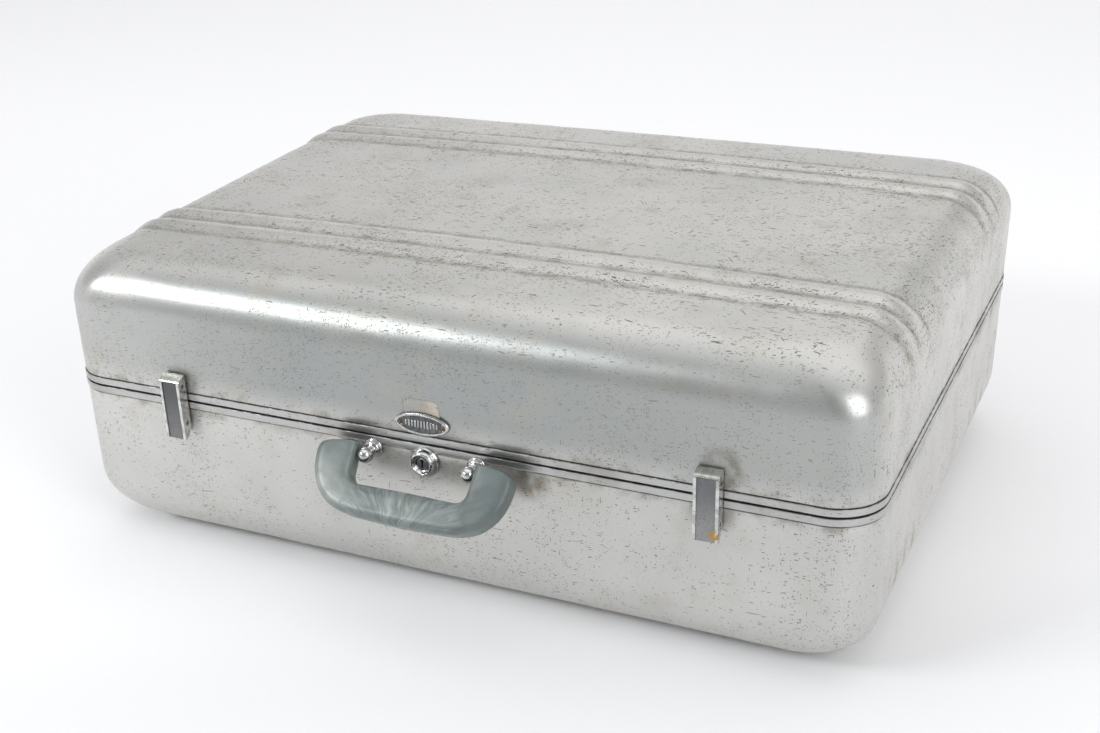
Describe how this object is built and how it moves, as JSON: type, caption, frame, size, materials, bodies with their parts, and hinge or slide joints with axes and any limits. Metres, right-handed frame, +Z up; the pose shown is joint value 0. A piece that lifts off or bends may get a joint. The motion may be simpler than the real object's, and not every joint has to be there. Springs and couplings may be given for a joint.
{
  "type": "aluminum travel case",
  "caption": "Hard-shell aluminium travel case with ribbed drawn shells, rocker latches, key lock, bail handle and a hinged lid on folding stays.",
  "frame": {"origin": "middle of the whole object's box, on the surface that the case lies on", "axes": "+X along the case's width, to the right seen from the handle's side; the handle faces -Y; +Z up through the lid"},
  "size_m": [0.6108, 0.5124, 0.2292],
  "materials": {
    "shell_metal": "satin, worn clear coat with pits and scratches",
    "rail_metal": "drawn and polished, lightly scratched",
    "fitting_metal": "brushed, worn plating",
    "badge_metal": "worn bright rim with a dark field",
    "pin_steel": "darkened steel",
    "bright_chrome": "polished",
    "handle_plastic": "semi-gloss marbled pearl",
    "gasket_rubber": "matte",
    "lining_cloth": "twill cloth glued to the shell"
  },
  "bodies": {
    "base": {"base_shell": "shell_metal", "base_rail": "rail_metal", "gasket": "gasket_rubber", "base_lining": "lining_cloth", "lock_collar": "bright_chrome", "lock_nut": "fitting_metal", "latch_bracket_left": "fitting_metal", "latch_pivot_pin_left": "pin_steel", "latch_bracket_rivet_left_upper": "pin_steel", "latch_bracket_rivet_left_lower": "pin_steel", "handle_post_left": "bright_chrome", "handle_post_nut_left": "fitting_metal", "hinge_leaf_base_left": "fitting_metal", "hinge_pin_left": "pin_steel", "stay_stud_base_left": "fitting_metal", "hinge_rivet_base_left_a": "pin_steel", "hinge_rivet_base_left_b": "pin_steel", "latch_bracket_right": "fitting_metal", "latch_pivot_pin_right": "pin_steel", "latch_bracket_rivet_right_upper": "pin_steel", "latch_bracket_rivet_right_lower": "pin_steel", "handle_post_right": "bright_chrome", "handle_post_nut_right": "fitting_metal", "hinge_leaf_base_right": "fitting_metal", "hinge_pin_right": "pin_steel", "stay_stud_base_right": "fitting_metal", "hinge_rivet_base_right_a": "pin_steel", "hinge_rivet_base_right_b": "pin_steel"},
    "lid": {"lid_shell": "shell_metal", "lid_rail": "rail_metal", "lid_lining": "lining_cloth", "lock_strike": "fitting_metal", "name_badge": "badge_metal", "badge_pin_left": "pin_steel", "latch_keeper_left": "fitting_metal", "latch_keeper_rivet_left": "pin_steel", "hinge_leaf_lid_left": "fitting_metal", "stay_stud_lid_left": "fitting_metal", "hinge_rivet_lid_left_a": "pin_steel", "hinge_rivet_lid_left_b": "pin_steel", "badge_pin_right": "pin_steel", "latch_keeper_right": "fitting_metal", "latch_keeper_rivet_right": "pin_steel", "hinge_leaf_lid_right": "fitting_metal", "stay_stud_lid_right": "fitting_metal", "hinge_rivet_lid_right_a": "pin_steel", "hinge_rivet_lid_right_b": "pin_steel"},
    "lock": {"lock_plug": "bright_chrome", "lock_cam": "fitting_metal"},
    "handle": {"handle_grip": "handle_plastic", "handle_pin_left": "pin_steel", "handle_pin_right": "pin_steel"},
    "latch_left": {"latch_lever_left": "fitting_metal", "latch_catch_pin_left": "pin_steel"},
    "stay_lower_left": {"stay_lower_left": "fitting_metal"},
    "stay_upper_left": {"stay_upper_left": "fitting_metal"},
    "latch_right": {"latch_lever_right": "fitting_metal", "latch_catch_pin_right": "pin_steel"},
    "stay_lower_right": {"stay_lower_right": "fitting_metal"},
    "stay_upper_right": {"stay_upper_right": "fitting_metal"}
  },
  "joints": [
    {"name": "lid_hinge", "type": "hinge", "parent": "base", "child": "lid", "pos_m": [0, 0.25283, 0.126], "axis": [-1, 0, 0], "range_deg": [0, 100]},
    {"name": "latch_left_swing", "type": "hinge", "parent": "base", "child": "latch_left", "pos_m": [-0.2025, -0.21377, 0.1106], "axis": [1, 0, 0], "range_deg": [0, 26]},
    {"name": "latch_right_swing", "type": "hinge", "parent": "base", "child": "latch_right", "pos_m": [0.2025, -0.21377, 0.1106], "axis": [1, 0, 0], "range_deg": [0, 26]},
    {"name": "handle_swing", "type": "hinge", "parent": "base", "child": "handle", "pos_m": [0, -0.22127, 0.1165], "axis": [-1, 0, 0], "range_deg": [-40, 135]},
    {"name": "lock_turn", "type": "hinge", "parent": "base", "child": "lock", "pos_m": [0, -0.20827, 0.113], "axis": [0, 1, 0], "range_deg": [0, 60]},
    {"name": "stay_lower_left_swing", "type": "hinge", "parent": "base", "child": "stay_lower_left", "pos_m": [-0.2936, 0.13415, 0.1083], "axis": [-1, 0, 0], "range_deg": [0, 100]},
    {"name": "stay_upper_left_swing", "type": "hinge", "parent": "lid", "child": "stay_upper_left", "pos_m": [-0.2936, 0.13415, 0.1437], "axis": [-1, 0, 0], "range_deg": [-100, 0]},
    {"name": "stay_lower_right_swing", "type": "hinge", "parent": "base", "child": "stay_lower_right", "pos_m": [0.2936, 0.13415, 0.1083], "axis": [-1, 0, 0], "range_deg": [0, 100]},
    {"name": "stay_upper_right_swing", "type": "hinge", "parent": "lid", "child": "stay_upper_right", "pos_m": [0.2936, 0.13415, 0.1437], "axis": [-1, 0, 0], "range_deg": [-100, 0]}
  ],
  "couplings": [
    {"joint": "stay_lower_left_swing", "follows": "lid_hinge", "ratio": 1},
    {"joint": "stay_upper_left_swing", "follows": "lid_hinge", "ratio": -1},
    {"joint": "stay_lower_right_swing", "follows": "lid_hinge", "ratio": 1},
    {"joint": "stay_upper_right_swing", "follows": "lid_hinge", "ratio": -1}
  ]
}
